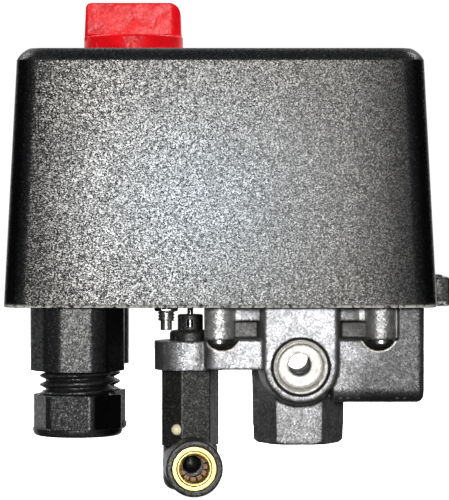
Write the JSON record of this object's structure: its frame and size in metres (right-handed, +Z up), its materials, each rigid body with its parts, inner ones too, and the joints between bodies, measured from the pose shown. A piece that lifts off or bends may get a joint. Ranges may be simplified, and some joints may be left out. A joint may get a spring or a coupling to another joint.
{
  "type": "pressure switch",
  "caption": "Air-compressor pressure switch: covered contact mechanism on a multi-port cast manifold, with turning on/off knob, unloader valve with push-in elbow and cable glands.",
  "frame": {"origin": "centre of the tank port's mouth, on the underside of the hexagonal boss", "axes": "+Z up, from the tank port to the knob; +X from the cable glands towards the side port; -Y is the front, where the push-in outlet points"},
  "size_m": [0.1094, 0.062, 0.1219],
  "materials": {
    "zinc_casting": "die cast, satin with a fine skin",
    "zinc_plated_steel": "bright zinc plated",
    "ground_steel": "ground",
    "spring_steel": "drawn and oiled",
    "rubber": "matte",
    "brass": "machined",
    "copper": "rolled",
    "silver": "coined",
    "phenolic": "moulded",
    "carrier_nylon": "natural",
    "valve_nylon": "moulded, glass filled",
    "gland_nylon": "moulded, fine grain",
    "cover_plastic": "coarse spark-eroded grain",
    "red_plastic": "satin gloss",
    "cam_nylon": "moulded"
  },
  "bodies": {
    "housing": {"block_screws": "zinc_plated_steel", "clamp_screws": "zinc_plated_steel", "diaphragm": "rubber", "differential_lock_nut": "zinc_plated_steel", "differential_screw": "zinc_plated_steel", "differential_spring": "spring_steel", "earth_nut": "zinc_plated_steel", "earth_screw": "zinc_plated_steel", "earth_washer": "zinc_plated_steel", "fixed_contact_tips": "silver", "frame_plate": "zinc_plated_steel", "gland_body_front": "gland_nylon", "gland_body_rear": "gland_nylon", "gland_locknuts": "gland_nylon", "gland_nut_front": "gland_nylon", "gland_nut_rear": "gland_nylon", "gland_seal_front": "rubber", "gland_seal_rear": "rubber", "pivot_clips": "zinc_plated_steel", "pivot_pin": "ground_steel", "port_manifold": "zinc_casting", "range_lock_nut": "zinc_plated_steel", "range_screw": "zinc_plated_steel", "range_spring": "spring_steel", "spring_bridge": "zinc_plated_steel", "swivel_lock_plug": "brass", "terminal_block": "phenolic", "terminal_screws": "zinc_plated_steel", "terminal_strip_1_front": "brass", "terminal_strip_1_rear": "brass", "terminal_strip_2_front": "brass", "terminal_strip_2_rear": "brass", "unloader_body": "valve_nylon", "unloader_cap": "valve_nylon", "unloader_retaining_ring": "valve_nylon", "unloader_spring": "spring_steel", "unloader_spring_cup": "zinc_plated_steel", "upper_spring_seat": "zinc_plated_steel", "wire_clamps": "zinc_plated_steel"},
    "lever": {"main_lever": "zinc_plated_steel", "lower_spring_seat": "zinc_plated_steel"},
    "piston": {"piston": "carrier_nylon"},
    "carrier": {"contact_carrier": "carrier_nylon", "contact_bridge_1": "copper", "contact_bridge_2": "copper", "moving_contact_tips": "silver", "contact_springs": "spring_steel"},
    "valve_pin": {"unloader_pin": "brass", "unloader_poppet": "rubber"},
    "outlet": {"outlet_elbow": "valve_nylon", "elbow_o_ring": "rubber", "cartridge_ring": "brass", "grab_ring": "zinc_plated_steel", "tube_seal": "rubber"},
    "collet": {"collet": "brass"},
    "cover": {"cover": "cover_plastic", "cover_screw": "zinc_plated_steel"},
    "knob": {"knob": "red_plastic", "knob_clip": "cam_nylon", "knob_cam": "cam_nylon"}
  },
  "joints": [
    {"name": "main_lever", "type": "hinge", "parent": "housing", "child": "lever", "pos_m": [-0.012, 0, 0.048], "axis": [0, -1, 0], "range_deg": [0, 4.5], "stiffness_Nm_per_rad": 6, "springref_deg": -14.32, "deforming": ["range_spring", "differential_spring"]},
    {"name": "piston_lift", "type": "slide", "parent": "housing", "child": "piston", "axis": [0, 0, 1], "range_m": [0, 0.00095]},
    {"name": "contact_drop", "type": "slide", "parent": "housing", "child": "carrier", "axis": [0, 0, -1], "range_m": [0, 0.0019]},
    {"name": "unloader_press", "type": "slide", "parent": "housing", "child": "valve_pin", "axis": [0, 0, -1], "range_m": [0, 0.0012], "deforming": ["unloader_spring"]},
    {"name": "outlet_swivel", "type": "hinge", "parent": "housing", "child": "outlet", "pos_m": [-0.0271, 0, -0.0051], "axis": [0, 0, 1], "range_deg": [-90, 40]},
    {"name": "collet_press", "type": "slide", "parent": "outlet", "child": "collet", "axis": [-0.0715, 0.9974, 0], "range_m": [0, 0.0012], "stiffness_N_per_m": 250},
    {"name": "cover_lift", "type": "slide", "parent": "housing", "child": "cover", "axis": [0, 0, 1], "range_m": [0, 0.08]},
    {"name": "knob_turn", "type": "hinge", "parent": "cover", "child": "knob", "pos_m": [-0.0413, 0, 0.0973], "axis": [0, 0, 1], "range_deg": [0, 90]}
  ],
  "couplings": [
    {"joint": "piston_lift", "follows": "main_lever", "m_per_rad": 0.012},
    {"joint": "contact_drop", "follows": "main_lever", "m_per_rad": 0.024},
    {"joint": "unloader_press", "follows": "main_lever", "m_per_rad": 0.0151}
  ]
}
